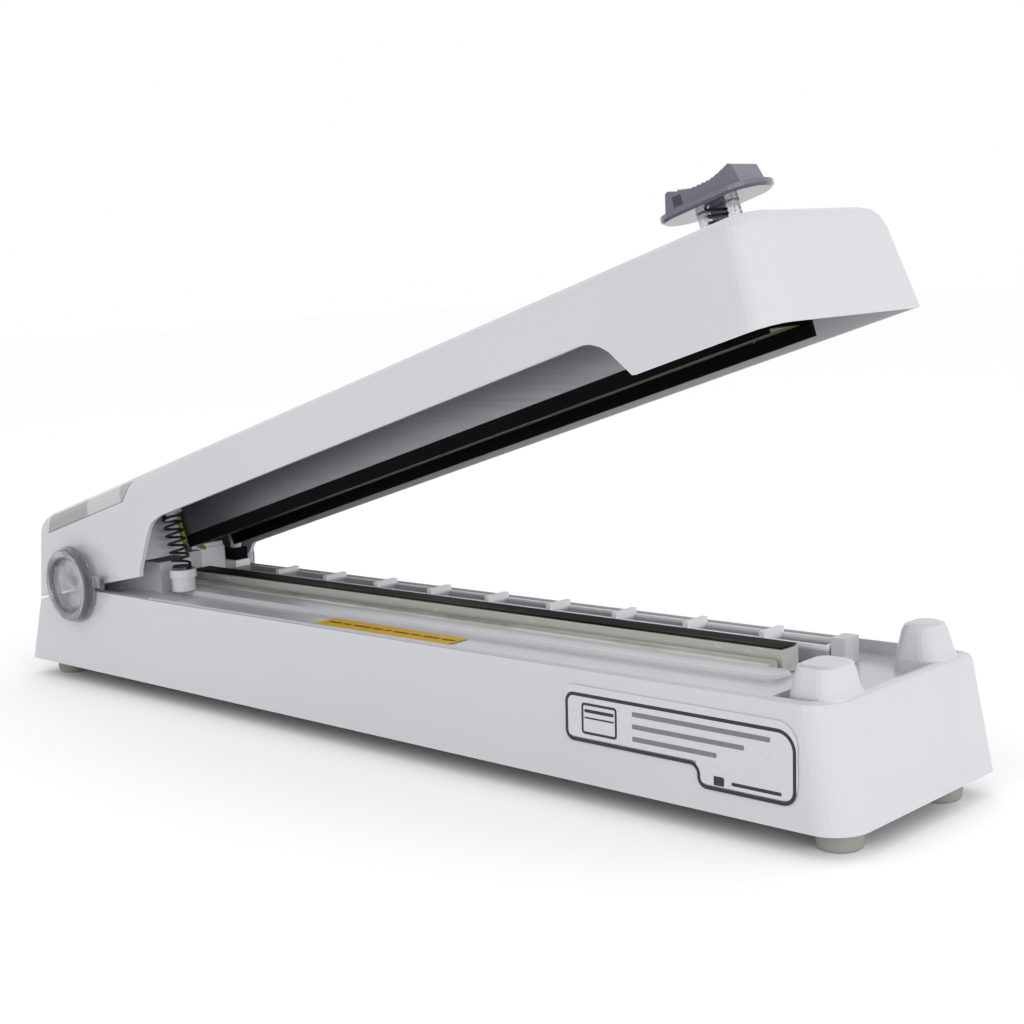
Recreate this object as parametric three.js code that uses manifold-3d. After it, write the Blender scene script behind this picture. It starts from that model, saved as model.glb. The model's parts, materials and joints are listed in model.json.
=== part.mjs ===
// Impulse heat sealer with a sliding bag cutter: moulded base, sprung press arm held open.
// Units are millimetres. +X runs from the hinge to the free end, +Z is up, +Y is to the left.
// The origin is on the surface that the feet stand on, under the middle of the base.
import * as THREE from 'three';
import { mergeVertices } from 'three/addons/utils/BufferGeometryUtils.js';
import Module from 'manifold-3d';

const wasm = await Module();
wasm.setup();

// ---- driving dimensions ----
const LENGTH = 560;          // base, at its bottom edge
const WIDTH = 106.7;
const FOOT_HEIGHT = 9.3;
const RIM = 55.1;            // rim of the base above the surface, at the hinge
const HINGE_X = -228.4;
const HINGE_Z = 57.3;
const DECK_RISE = 0.33;      // degrees, the deck rises toward the free end
const ARM_OPEN = 16;         // degrees, arm against its stop
const ARM_LOW = 57.8;        // lower edge of the closed arm
const ARM_TOP = 101.1;
const WALL = 2.4;
const BAR_Y = 2.5;           // middle of the sealing bar
const BAR_WIDTH = 11;
const BAR_TOP = 61.1;
const CUT_Y = 10.6;          // plane the cutter blade runs in
const GAP = 0.3;             // clearance between neighbouring pieces

// ---- materials ----
const paint = (color, roughness, metalness) =>
  new THREE.MeshStandardMaterial({ color, roughness, metalness });
const housingWhite = paint(0xd9dadf, 0.32, 0);
const partWhite = paint(0xe6e6ea, 0.4, 0);
const footRubber = paint(0xb4b6ac, 0.75, 0);
const aluminium = paint(0xb9b6ae, 0.38, 0.9);
const steel = paint(0x9a9ca0, 0.3, 1);
const blackPlastic = paint(0x101012, 0.5, 0);
const siliconeBlack = paint(0x0c0c0d, 0.6, 0);
const ptfeBrown = paint(0x4a4432, 0.35, 0);
const ptfeBlack = paint(0x1d1b18, 0.45, 0);
const clearViolet = paint(0x8a8496, 0.2, 0);
const clearPlastic = paint(0xc4c6c8, 0.15, 0);
const springSteel = paint(0x141416, 0.35, 0.8);
const copper = paint(0xb87333, 0.4, 1);
const brass = paint(0xb99a52, 0.35, 1);
const boardGreen = paint(0x1f5a3a, 0.6, 0);
const labelYellow = paint(0xd9b400, 0.5, 0);
const labelSilver = paint(0xc6c7ca, 0.4, 0.2);
const earthGreen = paint(0x8fa80f, 0.5, 0);

// ---- solid helpers ----
function toSolid(geometry) {
  const bare = new THREE.BufferGeometry();
  bare.setAttribute('position', geometry.getAttribute('position').clone());
  if (geometry.index) {
    bare.setIndex(geometry.index.clone());
  }
  const merged = mergeVertices(bare, 1e-4);
  return new wasm.Manifold(new wasm.Mesh({
    numProp: 3,
    vertProperties: new Float32Array(merged.getAttribute('position').array),
    triVerts: new Uint32Array(merged.index.array),
  }));
}

function toGeometry(solid) {
  const mesh = solid.getMesh();
  const positions = new Float32Array(mesh.numVert * 3);
  for (let i = 0; i < mesh.numVert; i += 1) {
    for (let k = 0; k < 3; k += 1) {
      positions[i * 3 + k] = mesh.vertProperties[i * mesh.numProp + k];
    }
  }
  const geometry = new THREE.BufferGeometry();
  geometry.setAttribute('position', new THREE.BufferAttribute(positions, 3));
  geometry.setIndex(new THREE.BufferAttribute(new Uint32Array(mesh.triVerts), 1));
  geometry.computeVertexNormals();
  return geometry;
}

const join = (first, ...rest) => rest.reduce((sum, next) => sum.add(next), first);
const cut = (first, ...rest) => rest.reduce((left, next) => left.subtract(next), first);

function block(x0, x1, y0, y1, z0, z1) {
  const box = new THREE.BoxGeometry(x1 - x0, y1 - y0, z1 - z0);
  box.translate((x0 + x1) / 2, (y0 + y1) / 2, (z0 + z1) / 2);
  return toSolid(box);
}

// Cylinder or cone along an axis, from one end coordinate to the other.
function rod(axis, centre, from, to, radius, radiusTo = radius, sides = 20) {
  const shape = new THREE.CylinderGeometry(radiusTo, radius, to - from, sides);
  shape.translate(0, (from + to) / 2, 0);
  if (axis === 'z') {
    shape.rotateX(Math.PI / 2);
  }
  if (axis === 'x') {
    shape.rotateZ(-Math.PI / 2);
  }
  const [a, b] = centre;
  if (axis === 'x') {
    shape.translate(0, a, b);
  } else if (axis === 'y') {
    shape.translate(a, 0, b);
  } else {
    shape.translate(a, b, 0);
  }
  return toSolid(shape);
}

// Outline drawn in the XZ plane, extruded from y0 to y1.
function sidePrism(points, y0, y1) {
  const outline = new THREE.Shape(points.map(([x, z]) => new THREE.Vector2(x, z)));
  const shape = new THREE.ExtrudeGeometry(outline, { depth: y1 - y0, bevelEnabled: false });
  shape.rotateX(Math.PI / 2);
  shape.translate(0, y1, 0);
  return toSolid(shape);
}

// Segments per corner, far front first and counter-clockwise: the shells' near front corner is the broad one.
const SHELL_STEPS = [4, 3, 3, 9];
const even = (steps) => Array(4).fill(steps);

// Rounded rectangle, counter-clockwise seen from above: far front corner first.
function ringPoints({ x0, x1, y0, y1, front, rear, far = front }, steps) {
  const corners = [
    [x1 - far, y1 - far, far, 0],
    [x0 + rear, y1 - rear, rear, 1],
    [x0 + rear, y0 + rear, rear, 2],
    [x1 - front, y0 + front, front, 3],
  ];
  const points = [];
  for (const [cx, cy, radius, quarter] of corners) {
    for (let i = 0; i <= steps[quarter]; i += 1) {
      const angle = (quarter + i / steps[quarter]) * Math.PI / 2;
      points.push([cx + radius * Math.cos(angle), cy + radius * Math.sin(angle)]);
    }
  }
  return points;
}

// Closed solid through a stack of rounded rectangles.
function loft(rings, steps = even(4), bend = (x, z) => z) {
  const count = steps.reduce((sum, number) => sum + number + 1, 0);
  const positions = [];
  for (const ring of rings) {
    for (const [x, y] of ringPoints(ring, steps)) {
      positions.push(x, y, bend(x, ring.z));
    }
  }
  const index = [];
  for (let level = 0; level + 1 < rings.length; level += 1) {
    for (let i = 0; i < count; i += 1) {
      const a = level * count + i;
      const b = level * count + (i + 1) % count;
      index.push(a, b, b + count, a, b + count, a + count);
    }
  }
  const top = (rings.length - 1) * count;
  for (let i = 1; i + 1 < count; i += 1) {
    index.push(0, i + 1, i);
    index.push(top, top + i, top + i + 1);
  }
  const shape = new THREE.BufferGeometry();
  shape.setAttribute('position', new THREE.Float32BufferAttribute(positions, 3));
  shape.setIndex(index);
  return toSolid(shape);
}

const shrink = (ring, by) => ({
  ...ring,
  x0: ring.x0 + by,
  x1: ring.x1 - by,
  y0: ring.y0 + by,
  y1: ring.y1 - by,
  front: Math.max(ring.front - by, 0.6),
  far: Math.max((ring.far ?? ring.front) - by, 0.6),
  rear: Math.max(ring.rear - by, 0.6),
});

// Helical coil spring, built from a tube along its centre line; its upper coils lean with the arm.
class Helix extends THREE.Curve {
  constructor(bottom, top, radius, turns, lean = 0) {
    super();
    Object.assign(this, { bottom, top, radius, turns, lean: THREE.MathUtils.degToRad(lean) });
  }
  getPoint(t, target = new THREE.Vector3()) {
    const angle = t * this.turns * Math.PI * 2;
    target.lerpVectors(this.bottom, this.top, t);
    target.x += this.radius * Math.cos(angle) * Math.cos(this.lean * t);
    target.z += this.radius * Math.cos(angle) * Math.sin(this.lean * t);
    target.y += this.radius * Math.sin(angle);
    return target;
  }
}

function tube(curve, radius, steps, sides = 6) {
  const section = new THREE.Shape();
  for (let i = 0; i < sides; i += 1) {
    const angle = (i / sides) * Math.PI * 2;
    section[i === 0 ? 'moveTo' : 'lineTo'](radius * Math.cos(angle), radius * Math.sin(angle));
  }
  return new THREE.ExtrudeGeometry(section, { steps, bevelEnabled: false, extrudePath: curve });
}

function add(group, name, shape, material) {
  const geometry = shape.isBufferGeometry ? shape : toGeometry(shape);
  const mesh = new THREE.Mesh(geometry, material);
  mesh.name = name;
  group.add(mesh);
}

// Group turned about the hinge axis, whose children keep the coordinates of the level pose.
function hingeGroup(parent, degrees) {
  const turned = new THREE.Group();
  turned.position.set(HINGE_X, 0, HINGE_Z);
  turned.rotation.y = -THREE.MathUtils.degToRad(degrees);
  const inner = new THREE.Group();
  inner.position.set(-HINGE_X, 0, -HINGE_Z);
  turned.add(inner);
  parent.add(turned);
  return inner;
}

const sealer = new THREE.Group();
const deck = hingeGroup(sealer, DECK_RISE);
const arm = hingeGroup(sealer, ARM_OPEN);

// ---- base housing ----
const slope = Math.tan(THREE.MathUtils.degToRad(DECK_RISE));
const riseAt = (x, z) => z + slope * (x - HINGE_X) * (z - FOOT_HEIGHT) / (RIM - FOOT_HEIGHT);
const half = WIDTH / 2;
const baseRing = (z, inFront, inRear, inSide) => ({
  z,
  x0: -LENGTH / 2 + inRear,
  x1: LENGTH / 2 - inFront,
  y0: -half + inSide,
  y1: half - inSide,
  front: 15,
  far: 2.6,
  rear: 2.5,
});
const baseRings = [
  baseRing(FOOT_HEIGHT, 0, 0, 0),
  baseRing(52.2, 7.0, 13.2, 2.0),
  baseRing(54.2, 7.8, 14.0, 2.7),
  baseRing(RIM, 9.4, 15.4, 4.2),
];
const baseOuter = loft(baseRings, SHELL_STEPS, riseAt);
const troughRing = (z) => ({
  z, x0: -262, x1: 269, y0: -48.2, y1: 48.2, front: 12, far: 4, rear: 1.5,
});
const trough = loft([troughRing(50), troughRing(70)], even(4), riseAt);
const cavityRings = [
  { ...shrink(baseRings[0], WALL), z: FOOT_HEIGHT - 2 },
  { ...shrink(baseRings[1], WALL), z: 47.6 },
];
const cavity = loft(cavityRings, even(4), riseAt);

// Near band, bar plateau and the two locating bosses that the closed arm drops over.
const bandBox = block(-236, 243, -49.2, -14, 47, 54);
const plateau = loft([
  { z: 47, x0: -164.5, x1: 233, y0: -29, y1: -14, front: 5, rear: 1 },
  { z: 55.2, x0: -164.5, x1: 232.6, y0: -28.6, y1: -14.2, front: 5, rear: 1 },
  { z: 56.2, x0: -164, x1: 231.6, y0: -27.6, y1: -15, front: 4.4, rear: 0.6 },
]);
const locator = (x0, y0, y1, top, taper) => loft([
  { z: 48, x0: x0 - 0.6, x1: 271.6, y0: y0 - 0.5, y1: y1 + 0.5, front: 7, rear: 7 },
  { z: 55.2, x0, x1: 271.3, y0, y1, front: 7, rear: 7 },
  { z: 57.2, x0: x0 + 0.4, x1: 269.8, y0: y0 + 0.4, y1: y1 - 0.4, front: 7, rear: 7 },
  ...[[top - 3, 2.2, 6.5], [top - 0.8, 3.3, 5.6], [top, 5.3, 4.2]].map(([z, inset, corner]) => ({
    z,
    x0: x0 + inset * taper,
    x1: 270.2 - inset * taper,
    y0: y0 + inset * taper,
    y1: y1 - inset * taper,
    front: corner,
    rear: corner,
  })),
], even(5));
const riseDeck = (solid) => solid.rotate([0, -DECK_RISE, 0]);
const onDeck = (solid) => riseDeck(solid.translate([-HINGE_X, 0, -HINGE_Z]))
  .translate([HINGE_X, 0, HINGE_Z]);

// Wells clear the hinge brackets, slots clear the arm's side walls, and the rim falls away at the rear.
const wells = [-1, 1].map((side) => block(-241, -196, Math.min(side * 34.6, side * 44),
  Math.max(side * 34.6, side * 44), 44, 70));
const lapSlots = [-1, 1].map((side) => block(-240, -160, Math.min(side * 46.6, side * 50.4),
  Math.max(side * 46.6, side * 50.4), 46, 70));
const rearFall = sidePrism([[-290, 41.2], [-207, RIM - 0.2], [-204, RIM + 9], [-290, 70]], -60, 60);
const shaftHole = rod('y', [HINGE_X, HINGE_Z], -60, 60, 4.2, 4.2, 20);
const pillarSpots = [[-236, 33], [-236, -33], [236, 33], [236, -33]];
const pillars = pillarSpots.map(([x, y]) => rod('z', [x, y], 12, x > 0 ? 51.5 : 41, 4.6, 4.6, 14));
const pillarBores = pillarSpots.map(([x, y]) => rod('z', [x, y], 5, 30, 1.9, 1.9, 12));
const hingeEars = [-1, 1].map((side) => join(
  block(-238, -218.8, side * 41 - 1.6, side * 41 + 1.6, 42, HINGE_Z),
  rod('y', [HINGE_X, HINGE_Z], side * 41 - 1.6, side * 41 + 1.6, 9.6, 9.6, 24),
));
const earBores = rod('y', [HINGE_X, HINGE_Z], -44, 44, 3.4, 3.4, 20);
const rearHoles = [
  block(-290, -255, -14.4, 14.4, 15.6, 37.4),
  rod('x', [32, 27], -290, -255, 3.5, 3.5, 16),
  rod('x', [32, 27], -290, -275.9, 9.8, 9.8, 20),
  rod('x', [-32, 27], -290, -255, 6.4, 6.4, 16),
  rod('x', [-32, 27], -290, -276.2, 8.2, 8.2, 18),
];
const cavityBelowDeck = cut(cavity, block(-263, -163, -60, 60, 39.6, 60));
// Pedestal between the hinge brackets: it covers the leads and screens the hinge from the bag side.
const pedestal = join(block(-232, -186, -33, 4.6, 46, 70.4), block(-187, -171.4, -33, -12, 46, 70.4));
let housing = cut(baseOuter, trough);
housing = join(housing, onDeck(bandBox), onDeck(plateau));
const locators = [locator(248, -45.3, -20.4, 66.8, 0.78), locator(249.5, 24.5, 46.5, 69, 1)];
housing = join(housing, ...locators.map(onDeck));
housing = join(cut(housing, cavityBelowDeck), ...pillars);
housing = cut(join(cut(housing, ...lapSlots.map(onDeck), rearFall), onDeck(pedestal)), ...wells, shaftHole);
housing = cut(join(housing, ...hingeEars), earBores, ...pillarBores, ...rearHoles);
add(sealer, 'base_housing', housing, housingWhite);

// ---- underside ----
const coverRing = (z) => ({ z, x0: -275.2, x1: 275.8, y0: -49.8, y1: 49.8, front: 12, rear: 3 });
const coverHoles = pillarSpots.map(([x, y]) => rod('z', [x, y], 5, 15, 1.9, 1.9, 12));
add(sealer, 'bottom_cover', cut(loft([coverRing(9.3), coverRing(11.4)]), ...coverHoles), blackPlastic);
pillarSpots.forEach(([x, y], i) => {
  const screw = join(rod('z', [x, y], 7.4, 9.0, 2.6, 3.6, 12), rod('z', [x, y], 8.9, 26, 1.5, 1.5, 10));
  add(sealer, `bottom_screw_${i + 1}`, screw, steel);
});
const footSpots = [[264.9, 35.4], [264.9, -35.4], [-264.3, 35.4], [-264.3, -35.4]];
footSpots.forEach(([x, y], i) => {
  add(sealer, `foot_${i + 1}`, rod('z', [x, y], 0, FOOT_HEIGHT - GAP, 8.9, 9.5, 24), footRubber);
});

// ---- inside the base ----
const core = cut(block(-125, -69, -22, 22, 13, 44), block(-115, -79, -13, 13, 5, 50));
add(sealer, 'transformer_core', join(core, block(-101, -93, -14, 14, 13, 44)), steel);
const coilBody = cut(block(-114.5, -79.5, -12.6, 12.6, 15, 42), block(-101.4, -92.6, -30, 30, 5, 50));
const coilHalves = [coilBody.intersect(block(-120, -97, -30, 30, 0, 60)),
  coilBody.intersect(block(-97, -70, -30, 30, 0, 60))];
add(sealer, 'transformer_coil_rear', coilHalves[0], copper);
add(sealer, 'transformer_coil_front', coilHalves[1], copper);
add(sealer, 'timer_board', block(-215, -150, -34, 34, 16, 17.6), boardGreen);
add(sealer, 'timer_potentiometer', join(block(-266, -257, 25, 39, 20, 34),
  rod('x', [32, 27], -275.9, -265.5, 2.6, 2.6, 14)), steel);
add(sealer, 'power_inlet', cut(block(-279.4, -258, -14, 14, 16, 37),
  block(-290, -264, -11.4, 11.4, 18.6, 34.4)), blackPlastic);
add(sealer, 'fuse_holder', join(rod('x', [-32, 27], -279.4, -276.6, 7.6, 7.6, 18),
  rod('x', [-32, 27], -277, -256, 6, 6, 16)), blackPlastic);
add(sealer, 'timer_dial', cut(rod('x', [32, 27], -279.4, -276.2, 8.4, 9, 20),
  block(-280, -278.6, 31.2, 32.8, 27, 36)), blackPlastic);
add(sealer, 'hinge_shaft', rod('y', [HINGE_X, HINGE_Z], -46.5, 46.5, 3, 3, 16), steel);

// ---- on the deck: sealing bar and its stack ----
const barNear = BAR_Y - BAR_WIDTH / 2;
const barFar = BAR_Y + BAR_WIDTH / 2;
const BAR_REAR = -184;
const BAR_FRONT = 218;
add(deck, 'sealing_bar', block(BAR_REAR, BAR_FRONT, barNear, barFar, 50.3, BAR_TOP - 1), aluminium);
add(deck, 'insulating_strip', block(BAR_REAR + 0.5, BAR_FRONT - 0.5, barNear + 0.4, barFar - 0.4,
  BAR_TOP - 0.85, BAR_TOP - 0.6), ptfeBrown);
add(deck, 'heating_element', block(BAR_REAR + 1, BAR_FRONT - 1, BAR_Y - 1.5, BAR_Y + 1.5,
  BAR_TOP - 0.5, BAR_TOP - 0.3), steel);
add(deck, 'ptfe_cover', block(BAR_REAR + 0.2, BAR_FRONT - 0.2, barNear + 0.1, barFar - 0.1,
  BAR_TOP - 0.2, BAR_TOP), ptfeBlack);
add(deck, 'ptfe_clamp_rod', rod('x', [barNear - 4.2, 53.7], BAR_REAR + 6, 216.4, 3.1, 3.1, 14), aluminium);
[-150, 190].forEach((x, i) => {
  add(deck, `bar_screw_${i + 1}`, rod('y', [x, 56.4], barFar + 0.1, barFar + 1.3, 1.9, 1.9, 10), steel);
});
add(deck, 'terminal_block', join(block(-208, -193.8, 5, 26.4, 50.3, 69.6),
  block(-206.6, -195.2, 5, 26.4, 69.5, 72)), partWhite);

// Bag rail: a low channel with cross ribs on the far side of the bar, stopped by an end block.
const RAIL_NEAR = 18;
const RAIL_FAR = 32;
let rail = cut(block(-177, 225, RAIL_NEAR, RAIL_FAR, 50.3, 58.4),
  block(-175.4, 223.4, RAIL_NEAR + 1.6, RAIL_FAR - 1.6, 52.2, 60));
const RIB_PITCH = 40.9;
for (let i = 0; i < 9; i += 1) {
  const x = -134.6 + i * RIB_PITCH;
  rail = join(rail, block(x - 1.4, x + 1.4, RAIL_NEAR, RAIL_FAR, 50.3, 61));
}
add(deck, 'bag_rail', rail, partWhite);
add(deck, 'rail_end_block', block(225.6, 232.4, 20, 30.2, 50.3, 61.6), partWhite);

// ---- on the deck: spring seat, micro switch and labels ----
const SPRING_X = -154.5;
const CUP_X = -153.4;
const SPRING_Y = -30;
const SWITCH_X = -190;
const SWITCH_Y = 31.6;
add(deck, 'spring_seat', join(rod('z', [SPRING_X, SPRING_Y], 56.5, 64, 6.4, 6.2, 20),
  rod('z', [SPRING_X, SPRING_Y], 63.8, 68, 7.2, 7, 20)), partWhite);
add(deck, 'microswitch_base', block(-194.8, -184.4, 26.8, 36.6, 50.3, 60.8), partWhite);
add(deck, 'microswitch', cut(block(-194.2, -185, 27.4, 36, 61.1, 67.8),
  rod('z', [SWITCH_X, SWITCH_Y], 61.4, 72, 3.5, 3.5, 14)), blackPlastic);
add(deck, 'switch_plunger', rod('z', [SWITCH_X, SWITCH_Y], 64.6, 72.6, 3.2, 3.2, 16), partWhite);
add(deck, 'deck_label', block(-25, 68, -46, -33, 54.3, 54.5), labelYellow);

// ---- arm cover ----
const armRings = [
  { z: 46, x0: -277.7, x1: 272.8, y0: -50.4, y1: 50.4, front: 14, far: 1.6, rear: 2 },
  { z: ARM_LOW, x0: -273.5, x1: 272.7, y0: -49.65, y1: 49.65, front: 14, far: 1.8, rear: 2 },
  { z: 92, x0: -261.2, x1: 272.4, y0: -47.3, y1: 47.3, front: 14, far: 9, rear: 2 },
  { z: 96.4, x0: -258.6, x1: 271.8, y0: -46.7, y1: 46.7, front: 13.6, far: 11, rear: 2 },
  { z: 99.4, x0: -254.6, x1: 270.2, y0: -45.2, y1: 45.2, front: 12.4, far: 12, rear: 2 },
  { z: ARM_TOP, x0: -248.6, x1: 267.2, y0: -42.6, y1: 42.6, front: 10.6, far: 11, rear: 1.6 },
];
const armOuter = loft(armRings, SHELL_STEPS);
const armInnerRings = (by) => armRings.map((ring, i) => ({
  ...shrink(ring, by),
  z: i === 0 ? ring.z - 3 : Math.min(ring.z, ARM_TOP - by - 0.001 * (armRings.length - i)),
}));
const armCavity = loft(armInnerRings(2.3).slice(0, 4).concat([
  { ...shrink(armRings[4], 2.3), z: 97.6 },
  { ...shrink(armRings[5], 1.5), z: 98.8 },
]));
const nearCutout = [
  [-165.4, 48.8], [-164, 52.3], [-160.4, 57], [-155.2, 63.4], [-149.4, 70.3], [-146.4, 72.8],
  [-142.4, 74.6], [-135.3, 75.8], [-116.1, 75.8],
  [168.1, 76.1], [179, 76.3], [184.6, 75.2], [189.4, 72.8], [193.4, 69.6], [196.4, 65.6], [202.6, ARM_LOW],
];
const rearEdge = [[-300, 59.5], [-272.1, 57.4], [-206.6, 52.4]];
const nearBelow = [...rearEdge, ...nearCutout, [300, ARM_LOW], [300, 30], [-300, 30]];
const farBelow = [...rearEdge, [-199, 53.4], [-193, ARM_LOW], [300, ARM_LOW], [300, 30], [-300, 30]];
const bulkhead = cut(block(-168.8, -166.8, -60, 60, 57.2, 110), block(-180, -150, -17.6, 60, 40, 84.5));
const bulkheadNotch = block(-180, -150, -17.6, 21, 40, 110);
const legSlot = block(-150, 240, CUT_Y - 2, CUT_Y + 2, 90, 110);
const windowLoft = (by) => loft([
  ...armRings.slice(0, 4).map((ring) => shrink(ring, by)),
  { ...shrink(armRings[4], by), z: armRings[4].z - by * 0.8 },
  { ...shrink(armRings[5], by), z: armRings[5].z - by },
], SHELL_STEPS);
const windowOutline = (by) => [
  [-251.2 + by, 90.6 + by], [-168.2 - by, 90.6 + by], [-153.1 - by * 1.2, 103], [-245.1 + by, 103],
];
const windowPane = cut(windowLoft(0.02), windowLoft(1)).intersect(sidePrism(windowOutline(0.4), -60, -27.4));
const windowRebate = cut(armOuter, windowLoft(1.3)).intersect(sidePrism(windowOutline(0), -60, -27));
let cover = cut(armOuter, cut(armCavity, cut(bulkhead, bulkheadNotch)));
cover = cut(cover, sidePrism(nearBelow, -60, 0), sidePrism(farBelow, -0.01, 60), shaftHole);
cover = cut(cover, legSlot, windowRebate, block(-244, -168, -43, -32, 98, 110).translate([0, 0, -8]));
add(arm, 'arm_cover', cover, housingWhite);
add(arm, 'indicator_window', windowPane, clearViolet);

add(arm, 'indicator_card', block(-206, -170, -42, -33, 91.4, 91.9), labelSilver);
add(arm, 'indicator_lamp', join(rod('z', [-226, -37], 88, 93.4, 3.4, 3.4, 14),
  rod('z', [-226, -37], 86.5, 88.2, 4.2, 4.2, 14)), labelYellow);
add(arm, 'indicator_board', block(-240, -172, -43, -31, 84.6, 86.2), boardGreen);

// ---- arm: press profile, pad, cutter guide and hinge brackets ----
const PRESS_REAR = -165.4;
const PRESS_FRONT = 244.4;
const profile = cut(block(PRESS_REAR, PRESS_FRONT, -15.5, 7.6, 66, 84),
  block(-300, 300, -13.8, 5.9, 60, 82.3));
add(arm, 'press_profile', profile, aluminium);
add(arm, 'pad_holder', cut(block(PRESS_REAR + 0.6, PRESS_FRONT, -15.5, 7.9, 59.4, 65.7),
  block(-300, 300, -13.7, 6.4 + 2, 50, 63.8), block(-300, 300, 7.65, 9, 50, 70)), blackPlastic);
add(arm, 'pressure_pad', block(PRESS_REAR + 2, PRESS_FRONT - 2, -4, 7.4, 62, 63.6), siliconeBlack);
add(arm, 'ptfe_tape', block(PRESS_REAR + 1.2, PRESS_FRONT - 1.2, -13.4, 7.5, 61.45, 61.8), ptfeBrown);
add(arm, 'cutter_guide', join(block(PRESS_REAR + 0.6, PRESS_FRONT, 13.6, 15.6, 56.4, 96.2),
  block(PRESS_REAR + 0.6, PRESS_FRONT, 15.4, 22, 94.6, 96.2)), blackPlastic);
const rib = (x) => join(block(x - 1, x + 1, -14.5, 4.8, 84.3, 98.4), block(x - 4, x + 4, -8, 0, 84.3, 86));
[-120, 150].forEach((x, i) => add(arm, `profile_hanger_${i + 1}`, rib(x), steel));
const bracket = (side, top) => {
  const y = side * 37.4;
  const plate = join(block(-238, -200, y - 1, y + 1, HINGE_Z, top),
    rod('y', [HINGE_X, HINGE_Z], y - 1, y + 1, 8.6, 8.6, 20));
  const flange = block(-220, -200, Math.min(y, y - side * 8), Math.max(y, y - side * 8), top - 1.8, top);
  return cut(join(plate, flange), rod('y', [HINGE_X, HINGE_Z], -60, 60, 3.4, 3.4, 20));
};
add(arm, 'hinge_bracket_near', bracket(-1, 84), steel);
add(arm, 'hinge_bracket_far', bracket(1, 97), steel);
add(arm, 'switch_striker', block(SWITCH_X - 3, SWITCH_X + 3, SWITCH_Y - 3, SWITCH_Y + 3, 73.4, 97), partWhite);
add(arm, 'spring_cup', join(rod('z', [CUP_X, SPRING_Y], 78, 98.4, 6.6, 7, 18),
  rod('z', [CUP_X, SPRING_Y], 74.5, 78.2, 3.4, 3.9, 14)), partWhite);

// ---- hinge plugs: clear caps with a raised ring, a recessed floor and a lock tab ----
const plug = (side) => {
  const profilePoints = [
    [0, 0.4], [21.6, 0.4], [21.6, 2.2], [20.4, 3.4], [20.4, 5.8], [19.6, 6.6], [16.4, 6.6],
    [15.4, 5.6], [14.6, 2.2], [0, 1.8],
  ].map(([r, y]) => new THREE.Vector2(r, y));
  const ring = new THREE.LatheGeometry(profilePoints, 36);
  ring.translate(0, 51.95, 0);
  const body = join(toSolid(ring), rod('y', [0, 0], 47.2, 52.6, 3.6, 3.6, 16),
    block(19.6, 27, 52.7, 54.6, 1.4, 6), block(23.4, 32.4, 52.7, 56.2, 0.8, 7.6));
  const turned = side > 0 ? body.rotate([0, 180, 0]) : body.mirror([0, 1, 0]);
  return turned.translate([HINGE_X, 0, HINGE_Z]);
};
add(sealer, 'hinge_plug_near', plug(-1), clearPlastic);
add(sealer, 'hinge_plug_far', plug(1), clearPlastic);

// ---- sliding cutter: carriage clamped on the roof, pressed knob with blade, return spring ----
const CUT_X = 218;
const POSTS = [-7.9, 7.9];    // the two posts the knob slides on, along the arm from its centre
const carriage = cut(join(
  block(CUT_X - 15, CUT_X + 15, CUT_Y - 5, CUT_Y + 3, 89, 98.3),
  block(CUT_X - 12, CUT_X + 12, CUT_Y - 1.6, CUT_Y + 1.6, 98, 102),
  block(CUT_X - 14, CUT_X + 14, CUT_Y - 6.5, CUT_Y + 6.5, 101.5, 103.4),
  ...POSTS.map((dx) => block(CUT_X + dx - 1.5, CUT_X + dx + 1.5, CUT_Y - 2.5, CUT_Y + 2.5, 103, 119.8)),
), block(CUT_X - 4.6, CUT_X + 4.6, CUT_Y - 1, CUT_Y + 1, 80, 110));
add(arm, 'cutter_carriage', carriage, clearPlastic);
const saddle = [
  [-20.6, 121], [-17.7, 130.5], [-16.2, 131.3], [-10.5, 129.4], [-5, 128.2], [5, 128.2],
  [10.5, 129.4], [16.2, 131.3], [17.7, 130.5], [20.6, 121],
];
const knobRing = (z, along, across, corner) => ({
  z, x0: CUT_X - along, x1: CUT_X + along, y0: CUT_Y - across, y1: CUT_Y + across, front: corner, rear: corner,
});
const knobSockets = POSTS.map((dx) => block(CUT_X + dx - 1.9, CUT_X + dx + 1.9,
  CUT_Y - 3, CUT_Y + 3, 110, 127.4));
const knob = cut(join(
  loft([
    knobRing(119.2, 24.8, 12.3, 11.8), knobRing(120.2, 26.2, 13.7, 13.2), knobRing(122, 26.2, 13.7, 13.2),
  ], even(6)),
  sidePrism(saddle.map(([dx, z]) => [CUT_X + dx, z]), CUT_Y - 8.5, CUT_Y + 8.5),
  block(CUT_X - 3.8, CUT_X + 3.8, CUT_Y - 0.6, CUT_Y + 0.6, 92, 120),
), ...knobSockets);
add(arm, 'slider_knob', knob, clearViolet);
add(arm, 'cutter_blade', sidePrism([
  [CUT_X - 9, 91.6], [CUT_X - 9, 70], [CUT_X, 64.5], [CUT_X + 9, 70], [CUT_X + 9, 91.6],
].map(([x, z]) => [x, z - 3]), CUT_Y - 0.3, CUT_Y + 0.3), steel);
const at = (x, y, z) => new THREE.Vector3(x, y, z);
add(arm, 'knob_spring', tube(new Helix(at(CUT_X, CUT_Y, 104.4), at(CUT_X, CUT_Y, 118.2), 5.2, 4.5),
  0.6, 54, 5), springSteel);

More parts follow.
